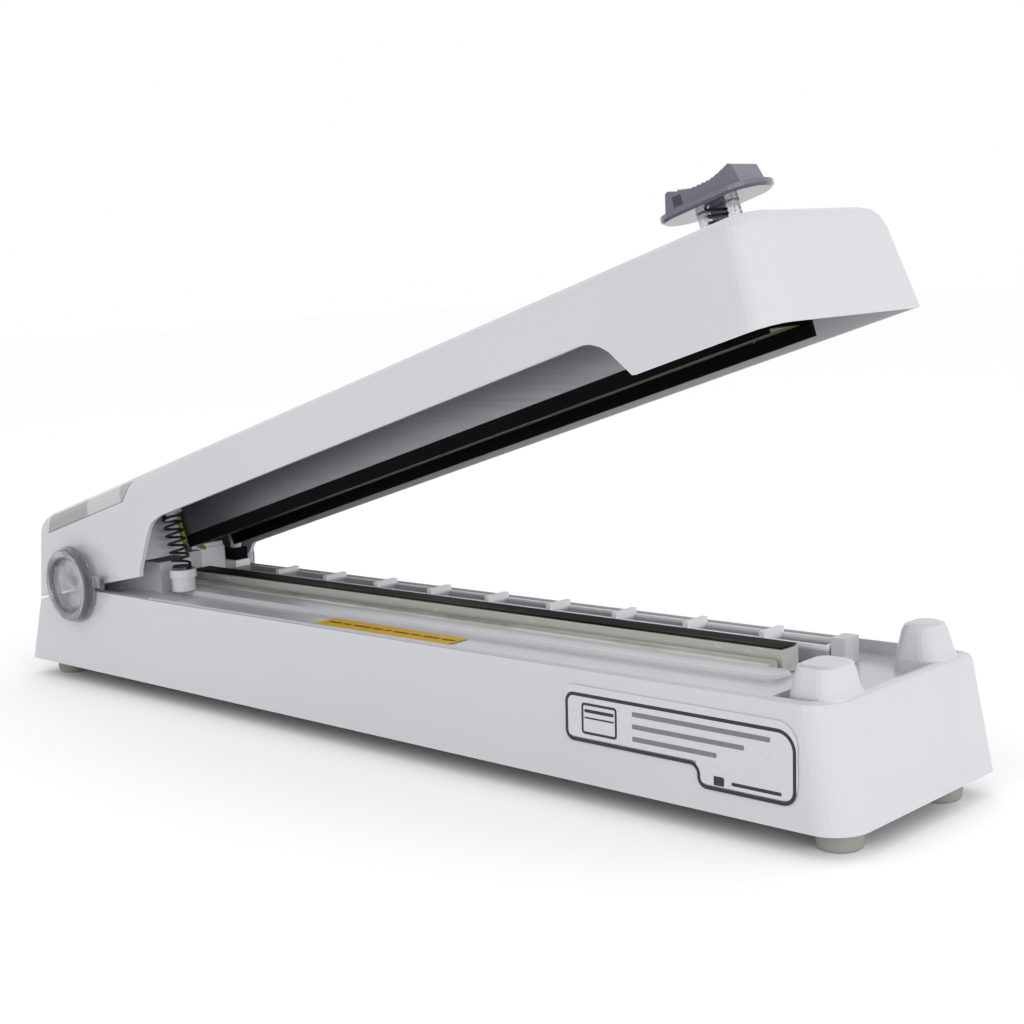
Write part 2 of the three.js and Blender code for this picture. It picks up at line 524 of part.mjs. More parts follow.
// ---- pieces that reach from the base to the arm ----
const armPoint = (x, y, z) => at(x, y, z).sub(at(HINGE_X, 0, HINGE_Z))
  .applyAxisAngle(at(0, 1, 0), -THREE.MathUtils.degToRad(ARM_OPEN)).add(at(HINGE_X, 0, HINGE_Z));
const deckPoint = (x, y, z) => at(x, y, z).sub(at(HINGE_X, 0, HINGE_Z))
  .applyAxisAngle(at(0, 1, 0), -THREE.MathUtils.degToRad(DECK_RISE)).add(at(HINGE_X, 0, HINGE_Z));
add(sealer, 'arm_spring', tube(new Helix(deckPoint(SPRING_X, SPRING_Y, 68.8),
  armPoint(CUP_X, SPRING_Y, 77), 4.7, 5.75, ARM_OPEN), 0.6, 96, 6), springSteel);
const leadPath = new THREE.CatmullRomCurve3([
  armPoint(-165.3, -17, 87), armPoint(-165.3, -17, 74), armPoint(-164.8, -17, 65),
  deckPoint(-174, -13, 77.4), deckPoint(-184, -1, 75), deckPoint(-191, 7, 73.4), deckPoint(-192.4, 12, 70),
]);
add(sealer, 'earth_lead', tube(leadPath, 1.1, 26, 6), earthGreen);

// ---- side label ----
const labelTilt = Math.atan2(2.15, 45.8);
const labelPanel = ([x0, x1, z0, z1, front]) => {
  const outline = ringPoints({ x0, x1, y0: z0, y1: z1, front, rear: 5 }, even(4));
  const shape = new THREE.Shape(outline.map(([x, z]) => new THREE.Vector2(x, z)));
  return toSolid(new THREE.ExtrudeGeometry(shape, { depth: 0.25, bevelEnabled: false }));
};
const labelShape = join(labelPanel([143.5, 259.2, 26.2, 47.7, 9]), labelPanel([212, 259.2, 17.8, 38, 6.5]));
const labelMesh = labelShape.rotate([90, 0, 0]).translate([0, -half - 0.3, -FOOT_HEIGHT])
  .rotate([THREE.MathUtils.radToDeg(-labelTilt), 0, 0]).translate([0, 0, FOOT_HEIGHT]);
add(sealer, 'side_label', labelMesh, labelSilver);

export default sealer;
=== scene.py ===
"""Looks of the impulse heat sealer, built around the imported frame.

Lengths are in mm until placed() turns them into metres.
"""
import json
import math

import bmesh
import bpy
from mathutils import Matrix, Vector


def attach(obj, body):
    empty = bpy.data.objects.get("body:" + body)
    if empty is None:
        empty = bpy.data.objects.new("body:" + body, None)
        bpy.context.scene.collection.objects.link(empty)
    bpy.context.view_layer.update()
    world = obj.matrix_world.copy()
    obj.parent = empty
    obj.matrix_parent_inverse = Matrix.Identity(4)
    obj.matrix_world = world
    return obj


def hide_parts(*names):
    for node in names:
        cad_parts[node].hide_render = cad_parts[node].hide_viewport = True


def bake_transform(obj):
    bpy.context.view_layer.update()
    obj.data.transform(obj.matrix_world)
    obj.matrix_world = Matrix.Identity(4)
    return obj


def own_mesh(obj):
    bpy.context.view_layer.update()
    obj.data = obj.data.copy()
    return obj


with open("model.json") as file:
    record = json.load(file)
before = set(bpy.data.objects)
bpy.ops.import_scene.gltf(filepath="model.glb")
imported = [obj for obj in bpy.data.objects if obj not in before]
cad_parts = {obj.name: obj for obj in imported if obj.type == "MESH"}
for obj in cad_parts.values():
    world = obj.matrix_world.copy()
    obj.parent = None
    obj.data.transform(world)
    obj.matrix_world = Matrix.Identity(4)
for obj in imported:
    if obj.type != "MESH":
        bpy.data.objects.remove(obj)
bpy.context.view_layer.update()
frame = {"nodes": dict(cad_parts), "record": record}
NODES = frame["nodes"]

MM = 0.001
HINGE_X, HINGE_Z = -228.4, 57.3                     # axis that the arm turns on, along Y
HINGE = Vector((HINGE_X, 0.0, HINGE_Z))
TURN = {"base": 0.0, "deck": 0.33, "arm": 16.0}     # degrees that each level pose is tilted by
SMOOTH_ANGLE = 32.0                                 # degrees, sharper edges are shaded as edges
BEVEL_ANGLE = 28.0                                  # degrees, sharper edges are rounded


def placed(point, where):
    """A point in mm given in the level pose of the base, deck or arm, as metres in the row frame."""
    spin = Matrix.Rotation(-math.radians(TURN[where]), 3, "Y")
    return (spin @ (Vector(point) - HINGE) + HINGE) * MM


# ---- camera ----
def make_camera():
    """Camera solved from the photograph: place in mm, angles in radians, lens and sensor in mm."""
    place = Vector((616.96, -554.11, 222.41))
    yaw, pitch, roll = 0.7768, 0.1432, -0.0554
    level = math.cos(pitch)
    forward = Vector((-math.sin(yaw) * level, math.cos(yaw) * level, -math.sin(pitch)))
    right = forward.cross(Vector((0, 0, 1))).normalized()
    up = right.cross(forward)
    right_rolled = math.cos(roll) * right + math.sin(roll) * up
    up_rolled = -math.sin(roll) * right + math.cos(roll) * up
    data = bpy.data.cameras.new("camera")
    data.sensor_width = 36.0
    data.lens = 60.53
    data.shift_x = -0.00717
    data.shift_y = -0.0025
    data.clip_start = 0.01
    camera = bpy.data.objects.new("camera", data)
    turn = Matrix((right_rolled, up_rolled, -forward)).transposed().to_4x4()
    camera.matrix_world = Matrix.Translation(place * MM) @ turn
    bpy.context.scene.collection.objects.link(camera)
    bpy.context.scene.camera = camera
    bpy.context.scene.view_settings.view_transform = "Standard"


make_camera()


# ---- materials ----
MIX_A, MIX_B, MIX_RESULT = 6, 7, 2    # colour sockets of a Mix node


class Shade:
    """A Principled material with short calls for its texture nodes. Coordinates are object metres."""

    def __init__(self, name, **values):
        self.material = bpy.data.materials.new(name)
        self.material.use_nodes = True
        self.tree = self.material.node_tree
        self.shader = self.tree.nodes["Principled BSDF"]
        for socket, value in values.items():
            self.shader.inputs[socket.replace("_", " ")].default_value = value
        self.coords = self.node("ShaderNodeTexCoord").outputs["Object"]
        self.height = None

    def node(self, kind, **settings):
        made = self.tree.nodes.new(kind)
        for key, value in settings.items():
            setattr(made, key, value)
        return made

    def link(self, source, target):
        self.tree.links.new(source, target)

    def stretched(self, scale):
        """Object coordinates, scaled along each axis."""
        mapping = self.node("ShaderNodeMapping")
        mapping.inputs["Scale"].default_value = scale
        self.link(self.coords, mapping.inputs["Vector"])
        return mapping.outputs["Vector"]

    def noise(self, scale, detail, stretch=(1, 1, 1)):
        made = self.node("ShaderNodeTexNoise")
        made.inputs["Scale"].default_value = scale
        made.inputs["Detail"].default_value = detail
        made.inputs["Roughness"].default_value = 0.55
        self.link(self.stretched(stretch), made.inputs["Vector"])
        return made.outputs["Fac"]

    def ramp(self, source, stops):
        """Grey values from (position, value) stops."""
        made = self.node("ShaderNodeValToRGB")
        while len(made.color_ramp.elements) < len(stops):
            made.color_ramp.elements.new(0.5)
        for element, (position, value) in zip(made.color_ramp.elements, stops):
            element.position = position
            element.color = (value, value, value, 1)
        self.link(source, made.inputs["Fac"])
        return made.outputs["Color"]

    def span(self, source, low, high):
        """The source's 0 to 1 carried to low to high."""
        made = self.node("ShaderNodeMapRange")
        made.inputs["To Min"].default_value = low
        made.inputs["To Max"].default_value = high
        self.link(source, made.inputs["Value"])
        return made.outputs["Result"]

    def mix(self, factor, a, b, mode="MIX"):
        made = self.node("ShaderNodeMix", data_type="RGBA", blend_type=mode)
        if isinstance(factor, float):
            made.inputs["Factor"].default_value = factor
        else:
            self.link(factor, made.inputs["Factor"])
        for value, slot in ((a, MIX_A), (b, MIX_B)):
            if isinstance(value, tuple):
                made.inputs[slot].default_value = (*value, 1)
            else:
                self.link(value, made.inputs[slot])
        return made.outputs[MIX_RESULT]

    def colour(self, source):
        self.link(source, self.shader.inputs["Base Color"])

    def roughness(self, source, low, high):
        self.link(self.span(source, low, high), self.shader.inputs["Roughness"])

    def bump(self, source, strength, distance):
        """Height in metres, on top of the bumps made before."""
        made = self.node("ShaderNodeBump")
        made.inputs["Strength"].default_value = strength
        made.inputs["Distance"].default_value = distance
        self.link(source, made.inputs["Height"])
        if self.height is not None:
            self.link(self.height, made.inputs["Normal"])
        self.height = made.outputs["Normal"]
        self.link(self.height, self.shader.inputs["Normal"])

    def along(self, axis):
        split = self.node("ShaderNodeSeparateXYZ")
        self.link(self.coords, split.inputs["Vector"])
        return split.outputs[axis]

    def between(self, source, low, high):
        """0 where the source is low, 1 where it is high."""
        made = self.node("ShaderNodeMapRange")
        made.inputs["From Min"].default_value = low
        made.inputs["From Max"].default_value = high
        self.link(source, made.inputs["Value"])
        return made.outputs["Result"]


def moulded(name, colour, rough, coat=0.0, grain=0.06, tone=0.05, level=0.5):
    """Moulded plastic: slow tone drift, fine orange peel, faint handling marks in the gloss."""
    shade = Shade(name, Roughness=rough, Coat_Weight=coat, Coat_Roughness=0.10, IOR=1.47,
                  Specular_IOR_Level=level)
    darker = tuple(c * (1 - tone) for c in colour)
    slow = shade.ramp(shade.noise(9, 2.0), [(0.3, 0.0), (0.72, 1.0)])
    specks = shade.ramp(shade.noise(900, 1.0), [(0.70, 0.0), (0.76, 1.0)])
    base = shade.mix(slow, colour, darker)
    shade.colour(shade.mix(specks, base, tuple(c * 0.93 for c in colour)))
    shade.roughness(shade.noise(38, 4.0, (1, 1, 0.4)), rough - 0.07, rough + 0.09)
    shade.bump(shade.noise(1400, 2.0), grain, 0.00012)
    shade.bump(shade.noise(120, 2.0), grain * 0.8, 0.0003)
    return shade.material


def metal(name, colour, rough, stretch, stain=None, metallic=1.0):
    """Drawn or extruded metal: long fine lines with a slow drift and a few dull marks."""
    shade = Shade(name, Metallic=metallic, Roughness=rough)
    lines = shade.noise(700, 3.0, stretch)
    drift = shade.noise(22, 3.0)
    base = shade.mix(lines, colour, tuple(c * 0.86 for c in colour))
    if stain:
        marks = shade.ramp(shade.noise(60, 5.0, (0.35, 1, 1.6)), [(0.5, 0.0), (0.66, 1.0)])
        base = shade.mix(marks, base, stain)
    dull = shade.ramp(drift, [(0.35, 0.0), (0.75, 0.5)])
    shade.colour(shade.mix(dull, base, tuple(c * 0.9 for c in colour)))
    shade.roughness(lines, rough - 0.06, rough + 0.12)
    shade.bump(lines, 0.12, 0.0001)
    return shade.material


WEAVE_PITCH = 0.0007     # metres
WAVE_PER_METRE = 0.31    # a wave texture of this scale repeats once per metre


def cloth(name, warm, dark, rough, level, streak=0.5):
    """PTFE-coated glass cloth: plain weave under a smooth film, with long worn streaks."""
    shade = Shade(name, Roughness=rough, Specular_IOR_Level=level)
    waves = []
    for direction in ("X", "Y"):
        wave = shade.node("ShaderNodeTexWave", bands_direction=direction, wave_profile="SIN")
        wave.inputs["Scale"].default_value = WAVE_PER_METRE / WEAVE_PITCH
        wave.inputs["Distortion"].default_value = 0.4
        shade.link(shade.coords, wave.inputs["Vector"])
        waves.append(wave.outputs["Fac"])
    weave = shade.mix(0.5, waves[0], waves[1], "MULTIPLY")
    streaks = shade.ramp(shade.noise(75, 4.0, (0.09, 1, 1)), [(0.40, 0.0), (0.62, 1.0)])
    fade = shade.mix(streak, dark, warm)
    base = shade.mix(streaks, dark, fade)
    shade.colour(shade.mix(0.18, base, weave, "MULTIPLY"))
    shade.roughness(streaks, rough + 0.12, rough - 0.1)
    shade.bump(weave, 0.25, 0.00008)
    return shade.material


def clear(name, colour, rough, transmission, tone=0.3):
    """Clear moulding: faint flow lines and dust, tinted in the thick."""
    shade = Shade(name, Transmission_Weight=transmission, IOR=1.49, Coat_Weight=0.6, Coat_Roughness=0.04)
    flow = shade.noise(26, 3.0, (1, 1, 2.2))
    shade.colour(shade.mix(flow, colour, tuple(c * (1 - tone) for c in colour)))
    shade.roughness(shade.noise(90, 4.0), rough, rough + 0.1)
    shade.bump(shade.noise(60, 2.0), 0.05, 0.0004)
    return shade.material


def plain(name, colour, rough, **extra):
    """Small hidden or printed surfaces: one tone with a fine mottle."""
    shade = Shade(name, Roughness=rough, **extra)
    mottle = shade.noise(420, 3.0)
    shade.colour(shade.mix(mottle, colour, tuple(c * 0.85 for c in colour)))
    shade.roughness(mottle, rough - 0.05, rough + 0.08)
    shade.bump(mottle, 0.06, 0.0001)
    return shade.material


def bar_material():
    """Sealing bar: grey-beige anodised side with scuffs and heat stains along its foot."""
    shade = Shade("bar_aluminium", Metallic=0.55, Roughness=0.42)
    lines = shade.noise(600, 3.0, (0.03, 1, 1))
    body = shade.mix(lines, (0.62, 0.61, 0.575), (0.53, 0.52, 0.485))
    foot = shade.between(shade.along("Z"), 57.0 * MM, 54.0 * MM)
    blotch = shade.ramp(shade.noise(95, 5.0, (0.3, 1, 1)), [(0.46, 0.0), (0.62, 1.0)])
    stain = shade.mix(1.0, foot, blotch, "MULTIPLY")
    body = shade.mix(stain, body, (0.30, 0.27, 0.22))
    scuffs = shade.ramp(shade.noise(240, 4.0, (0.5, 1, 3)), [(0.64, 0.0), (0.70, 1.0)])
    shade.colour(shade.mix(scuffs, body, (0.78, 0.77, 0.73)))
    shade.roughness(lines, 0.36, 0.52)
    shade.bump(lines, 0.10, 0.0001)
    return shade.material


def profile_material():
    """Press profile: satin anodised grey, with painted shade darkening it toward the hinge, where it lies
    deeper under the arm.
    """
    shade = Shade("profile_aluminium_painted_shade", Metallic=0.7, Roughness=0.36)
    lines = shade.noise(520, 3.0, (0.02, 1, 1))
    # Painted shade: dark at the hinge end, lighter toward the front.
    reach = shade.between(shade.along("X"), -190 * MM, 20 * MM)
    tone = shade.mix(reach, (0.085, 0.087, 0.105), (0.31, 0.315, 0.34))
    drawn = shade.ramp(lines, [(0.4, 0.0), (0.7, 0.35)])
    shade.colour(shade.mix(drawn, tone, (0.19, 0.19, 0.205)))
    shade.roughness(lines, 0.30, 0.46)
    shade.bump(lines, 0.08, 0.0001)
    return shade.material


def winding_material():
    """Enamelled wire laid in close turns."""
    shade = Shade("winding_copper_painted_shade", Metallic=0.85, Roughness=0.35, Coat_Weight=0.5)
    wave = shade.node("ShaderNodeTexWave", bands_direction="Z", wave_profile="SIN")
    wave.inputs["Scale"].default_value = 500
    shade.link(shade.coords, wave.inputs["Vector"])
    # Painted shade and highlight: darker in the grooves between the turns, lighter on their crowns.
    shade.colour(shade.mix(wave.outputs["Fac"], (0.32, 0.13, 0.05), (0.62, 0.29, 0.13)))
    shade.bump(wave.outputs["Fac"], 0.5, 0.0003)
    return shade.material


def cap_material():
    """Clear violet-grey cap, with painted reflections: dark bands where its ring turns down to the floor
    and at its rim, and dark streaks over it.
    """
    shade = Shade("cap_clear_painted_reflections", Transmission_Weight=0.88, IOR=1.49, Roughness=0.03, Coat_Weight=0.7,
                  Coat_Roughness=0.03)
    offset = shade.node("ShaderNodeMapping")
    offset.inputs["Location"].default_value = tuple(-HINGE * MM)
    offset.inputs["Scale"].default_value = (1, 0, 1)
    shade.link(shade.coords, offset.inputs["Vector"])
    reach = shade.node("ShaderNodeVectorMath", operation="LENGTH")
    shade.link(offset.outputs["Vector"], reach.inputs[0])
    share = shade.between(reach.outputs["Value"], 0.0, 25 * MM)
    # Painted reflections: dark bands at the inner wall and at the rim of the ring.
    rings = shade.ramp(share, [
        (0.0, 0.97), (0.50, 0.95), (0.57, 0.45), (0.62, 0.12), (0.68, 0.80), (0.76, 0.95),
        (0.80, 0.40), (0.86, 0.20), (0.90, 0.75),
    ])
    # Painted reflections: dark streaks across the cap.
    streaks = shade.ramp(shade.noise(75, 4.0), [(0.36, 0.45), (0.52, 1.0)])
    tone = shade.mix(1.0, rings, streaks, "MULTIPLY")
    shade.colour(shade.mix(tone, (0.03, 0.022, 0.05), (0.86, 0.84, 0.90)))
    shade.bump(shade.noise(60, 2.0), 0.05, 0.0004)
    return shade.material


def window_material():
    """Smoked window: warm grey over the lamp, pale where the card lies close behind it."""
    shade = Shade("window_smoke", Transmission_Weight=0.12, IOR=1.49, Roughness=0.12, Coat_Weight=0.9,
                  Coat_Roughness=0.04)
    turned = shade.node("ShaderNodeMapping", vector_type="TEXTURE")
    turned.inputs["Location"].default_value = tuple(HINGE * MM)
    turned.inputs["Rotation"].default_value = (0, -math.radians(TURN["arm"]), 0)
    shade.link(shade.coords, turned.inputs["Vector"])
    split = shade.node("ShaderNodeSeparateXYZ")
    shade.link(turned.outputs["Vector"], split.inputs["Vector"])
    share = shade.between(split.outputs["X"], -30 * MM, 80 * MM)
    card = shade.ramp(share, [(0.47, 0.0), (0.49, 1.0), (0.79, 1.0), (0.81, 0.25)])
    cloud = shade.mix(shade.noise(40, 3.0), (0.29, 0.278, 0.268), (0.24, 0.23, 0.222))
    shade.colour(shade.mix(card, cloud, (0.46, 0.46, 0.465)))
    shade.bump(shade.noise(60, 2.0), 0.05, 0.0004)
    return shade.material


def rail_material():
    """Bag rail: white ribs over a channel with painted shade, a mottled darker grey below the ribs."""
    shade = Shade("rail_white_painted_shade", Roughness=0.42)
    raised = shade.between(shade.along("Z"), 58.5 * MM, 60.0 * MM)
    dust = shade.noise(70, 4.0)
    # Painted shade: the channel below the ribs is coloured a darker, mottled grey.
    channel = shade.mix(dust, (0.25, 0.25, 0.28), (0.33, 0.33, 0.36))
    shade.colour(shade.mix(raised, channel, (0.66, 0.66, 0.69)))
    shade.roughness(dust, 0.36, 0.50)
    shade.bump(shade.noise(1300, 2.0), 0.06, 0.0001)
    return shade.material


MATERIALS = {
    "housing_white": moulded("housing_white", (0.50, 0.505, 0.53), 0.30, coat=0.35, grain=0.04, tone=0.04),
    "part_white": moulded("part_white", (0.50, 0.50, 0.53), 0.38, coat=0.15, grain=0.07),
    "foot_rubber": moulded("foot_rubber", (0.27, 0.275, 0.245), 0.72, grain=0.22, tone=0.14),
    "aluminium": metal("aluminium", (0.66, 0.66, 0.62), 0.40, (0.03, 1, 1), stain=(0.42, 0.43, 0.36),
                       metallic=0.6),
    "steel": metal("steel", (0.55, 0.55, 0.56), 0.32, (1, 0.1, 1)),
    "black_plastic": moulded("black_plastic", (0.002, 0.002, 0.0025), 0.5, grain=0.14, tone=0.3,
                             level=0.05),
    "silicone_black": plain("silicone_black", (0.0015, 0.0015, 0.0015), 0.6, Specular_IOR_Level=0.03),
    "ptfe_brown": cloth("ptfe_brown", (0.115, 0.098, 0.045), (0.008, 0.007, 0.005), 0.34, 0.15, streak=0.9),
    "ptfe_black": cloth("ptfe_black", (0.020, 0.017, 0.013), (0.006, 0.005, 0.005), 0.62, 0.08),
    "clear_violet": clear("clear_violet", (0.175, 0.163, 0.22), 0.16, 0.14, tone=0.45),
    "clear_plastic": clear("clear_plastic", (0.80, 0.80, 0.84), 0.06, 0.85),
    "spring_steel": metal("spring_steel", (0.012, 0.012, 0.014), 0.34, (1, 1, 1), metallic=0.4),
    "copper": winding_material(),
    "board_green": plain("board_green", (0.010, 0.085, 0.035), 0.45, Coat_Weight=0.3),
    "label_yellow": plain("label_yellow", (0.66, 0.41, 0.0), 0.5, Specular_IOR_Level=0.2),
    "label_silver": plain("label_silver", (0.54, 0.545, 0.56), 0.36, Coat_Weight=0.25),
    "earth_green": plain("earth_green", (0.22, 0.27, 0.012), 0.42, Coat_Weight=0.2),
    "bar": bar_material(),
    "profile": profile_material(),
    "ink": plain("label_ink", (0.012, 0.012, 0.014), 0.45),
    "red_ink": plain("label_red_ink", (0.20, 0.012, 0.012), 0.5),
    "pale_grey": plain("print_grey", (0.16, 0.165, 0.175), 0.5),
    "rail": rail_material(),
    "cap": cap_material(),
    "window": window_material(),
    # Painted light: a lighter copy of part_white, for the terminal block and the switch base in the arm's
    # shadow.
    "lit_part_white": moulded("terminal_white_painted_light", (0.80, 0.80, 0.83), 0.42, grain=0.07),
    "pocket": plain("pocket_shadow", (0.035, 0.033, 0.045), 0.4),
}
SPECIAL = {
    "sealing_bar": "bar", "press_profile": "profile", "bag_rail": "rail", "indicator_window": "window",
    # The terminal block and the switch base take the lighter painted-light copy of part_white.
    "terminal_block": "lit_part_white", "microswitch_base": "lit_part_white",
}


def paint(piece, key):
    piece.data.materials.clear()
    piece.data.materials.append(MATERIALS[key])


for row in frame["record"]["subparts"]:
    name = row["node"]
    paint(NODES[name], SPECIAL.get(name, row["material_slot"]))


# ---- softened edges on the CAD pieces that stay ----
def shade_by_angle(piece, degrees=SMOOTH_ANGLE):
    mesh = piece.data
    for face in mesh.polygons:
        face.use_smooth = True
    mesh.set_sharp_from_angle(angle=math.radians(degrees))


def round_edges(piece, width, segments=2, angle=BEVEL_ANGLE):
    bevel = piece.modifiers.new("edge radius", "BEVEL")
    bevel.width = width * MM
    bevel.segments = segments
    bevel.limit_method = "ANGLE"
    bevel.angle_limit = math.radians(angle)
    return bevel


def soften(piece, width):
    """Small radius on a CAD piece: flats are merged first, so that no facet line gets rounded."""
    shade_by_angle(piece)
    flat = piece.modifiers.new("merge flats", "DECIMATE")
    flat.decimate_type = "DISSOLVE"
    flat.angle_limit = math.radians(0.6)
    round_edges(piece, width).miter_outer = "MITER_ARC"
    even = piece.modifiers.new("even shading", "WEIGHTED_NORMAL")
    even.keep_sharp = True


# Edge radius in mm of each piece that gets one.
RADII = {
    "base_housing": 0.7, "arm_cover": 0.6, "bag_rail": 0.3, "rail_end_block": 0.45,
    "terminal_block": 0.6, "spring_seat": 0.5, "microswitch": 0.35, "microswitch_base": 0.35,
    "switch_plunger": 0.4, "sealing_bar": 0.25, "press_profile": 0.25, "pad_holder": 0.3,
    "cutter_guide": 0.25, "switch_striker": 0.4, "spring_cup": 0.4, "hinge_bracket_near": 0.2,
    "hinge_bracket_far": 0.2, "ptfe_clamp_rod": 0.3, "power_inlet": 0.4, "fuse_holder": 0.4,
    "timer_dial": 0.4, "bottom_cover": 0.3, "cutter_carriage": 0.3, "indicator_window": 0.15,
}
for name, piece in NODES.items():
    if name in RADII:
        soften(piece, RADII[name])
    else:
        shade_by_angle(piece)


# ---- pieces made here ----
def build(name, points, faces, key, body, where="base", angle=SMOOTH_ANGLE):
    """A mesh piece from points in mm, riding on a body unless that is None."""
    mesh = bpy.data.meshes.new(name)
    mesh.from_pydata([placed(point, where) for point in points], [], faces)
    tidy = bmesh.new()
    tidy.from_mesh(mesh)
    bmesh.ops.recalc_face_normals(tidy, faces=tidy.faces)
    tidy.to_mesh(mesh)
    tidy.free()
    piece = bpy.data.objects.new(name, mesh)
    bpy.context.scene.collection.objects.link(piece)
    paint(piece, key)
    shade_by_angle(piece, angle)
    if body:
        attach(piece, body)
    return piece


def ring_faces(rings, count):
    """Quads between successive loops of equal length, with the two end loops capped."""
    faces = []
    for row in range(rings - 1):
        start, end = row * count, (row + 1) * count
        for i in range(count):
            j = (i + 1) % count
            faces.append((start + i, start + j, end + j, end + i))
    faces.append(tuple(reversed(range(count))))
    faces.append(tuple((rings - 1) * count + i for i in range(count)))
    return faces


def sweep(path, radius, sides=10, swell=None):
    """Tube along a list of points, its radius scaled at each point by swell where that is given."""
    path = [Vector(p) for p in path]
    points = []
    side = None
    for i, here in enumerate(path):
        ahead = (path[min(i + 1, len(path) - 1)] - path[max(i - 1, 0)]).normalized()
        if side is None:
            side = ahead.orthogonal().normalized()
        side = (side - ahead * side.dot(ahead)).normalized()
        other = ahead.cross(side)
        reach = radius * swell[i] if swell else radius
        for k in range(sides):
            turn = math.tau * k / sides
            points.append(here + reach * (math.cos(turn) * side + math.sin(turn) * other))
    return points, ring_faces(len(path), sides)


def lathe(profile, centre, axis, segments):
    """A turned shape: profile of (radius, distance) pairs around an axis through the centre."""
    axis = Vector(axis).normalized()
    side = axis.orthogonal().normalized()
    other = axis.cross(side)
    centre = Vector(centre)
    points = []
    for radius, along in profile:
        for k in range(segments):
            turn = math.tau * k / segments
            outward = math.cos(turn) * side + math.sin(turn) * other
            points.append(centre + axis * along + radius * outward)
    return points, ring_faces(len(profile), segments)


def box_mesh(x0, x1, y0, y1, z0, z1):
    """Points and faces of a box."""
    points = [(x, y, z) for z in (z0, z1) for x, y in ((x0, y0), (x1, y0), (x1, y1), (x0, y1))]
    return points, ring_faces(2, 4)


def merged(*parts):
    """Several (points, faces) pairs as one."""
    points, faces = [], []
    for more_points, more_faces in parts:
        base = len(points)
        points += [Vector(p) for p in more_points]
        faces += [tuple(i + base for i in face) for face in more_faces]
    return points, faces


def smooth_path(knots, steps):
    """Catmull-Rom points through the knots."""
    knots = [Vector(k) for k in knots]
    ends = [2 * knots[0] - knots[1], *knots, 2 * knots[-1] - knots[-2]]
    path = []
    for a, b, c, d in zip(ends, ends[1:], ends[2:], ends[3:]):
        for i in range(steps):
            t = i / steps
            path.append(0.5 * (2 * b + (c - a) * t + (2 * a - 5 * b + 4 * c - d) * t * t
                               + (3 * b - a - 3 * c + d) * t ** 3))
    path.append(knots[-1])
    return path


def row_point(point, where):
    """The same point in mm, in the row frame."""
    return placed(point, where) / MM


COIL_STEPS = 36        # points per turn
CLOSED_PITCH = 2.05    # rise of a closed end coil before it settles, in wire radii
SETTLED = 0.9          # share of that rise that is left


def coil(name, bottom, top, radius, wire, turns, lean, body):
    """Compression spring with closed end coils, leaning by so many degrees at its top."""
    rise = wire * CLOSED_PITCH / (top - bottom).length
    steps = int(turns * COIL_STEPS)
    path = []
    for i in range(steps + 1):
        t = i / steps
        turn = t * turns
        if turn < 1:
            along = rise * turn * SETTLED
        elif turn > turns - 1:
            along = 1 - rise * (turns - turn) * SETTLED
        else:
            share = (turn - 1) / (turns - 2)
            along = rise * SETTLED + share * (1 - rise * 2 * SETTLED)
        centre = bottom.lerp(top, along)
        angle = turn * math.tau
        tilt = math.radians(lean) * t
        across = math.cos(angle)
        outward = Vector((across * math.cos(tilt), math.sin(angle), across * math.sin(tilt)))
        path.append(centre + radius * outward)
    return build(name, *sweep(path, wire), "spring_steel", body)


# Arm spring: rises from its seat on the deck to the arm, built once with the arm open; the real one is
# squeezed to a quarter of its height as the arm closes.
spring_foot = row_point((-154.5, -30, 68.7), "deck")
spring_head = row_point((-153.4, -30, 77.2), "arm")
arm_coil = coil("arm_coil", spring_foot, spring_head, 4.6, 0.72, 7.8, 16, "base")
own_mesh(arm_coil)
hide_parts("arm_spring")

# Knob spring: between the carriage and the knob, pressed to half its height.
KNOB_X, KNOB_Y = 218.0, 10.6
knob_foot = row_point((KNOB_X, KNOB_Y, 104.2), "arm")
knob_head = row_point((KNOB_X, KNOB_Y, 118.4), "arm")
knob_coil = coil("knob_coil", knob_foot, knob_head, 5.2, 0.5, 6.5, 0, "cutter")
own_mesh(knob_coil)
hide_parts("knob_spring")

# Earth lead: clipped to the end of the press profile, with slack down to the terminal block.
ARM_KNOTS = [(-165.3, -17, 87), (-165.3, -17, 74), (-164.8, -17, 65)]
DECK_KNOTS = [(-174, -13, 77.4), (-184, -1, 75), (-191, 7, 73.4), (-192.4, 12, 70)]
lead_knots = [row_point(p, "arm") for p in ARM_KNOTS] + [row_point(p, "deck") for p in DECK_KNOTS]
BULGE, BULGE_AT, BULGE_SPREAD = 0.35, 22, 2.2    # share of the radius, and steps along the lead
lead_path = smooth_path(lead_knots, 10)
lead_swell = [1 + BULGE * math.exp(-((i - BULGE_AT) / BULGE_SPREAD) ** 2) for i in range(len(lead_path))]
lead = build("earth_wire", *sweep(lead_path, 1.05, 12, lead_swell), "earth_green", None)
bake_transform(lead)
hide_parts("earth_lead")

# Hinge plugs: clear caps with a rounded ring around a recessed floor, and a tab that ends in a lock.
# Bounds of the tab and the lock are x and z from the axis and y out from the middle, for the near
# plug. The far plug has them turned by half a turn.
PLUG_BACK = 51.95
PLUG_TAB = (19.8, 26.8, 52.8, 54.5, 1.5, 5.9)
PLUG_LOCK = (24.0, 32.2, 52.8, 56.1, 0.9, 7.5)
PLUG_PROFILE = [
    (0.01, 0.5), (20.9, 0.5), (21.4, 0.7), (21.6, 1.2), (21.5, 1.9), (20.9, 2.5), (20.5, 3.2), (20.4, 5.2),
    (20.2, 6.0), (19.7, 6.45), (19.0, 6.6), (17.2, 6.6), (16.5, 6.4), (16.0, 5.9), (15.5, 5.0), (14.9, 3.1),
    (14.5, 2.5), (13.9, 2.2), (12.9, 2.1), (12.6, 1.95), (0.01, 1.9),
]
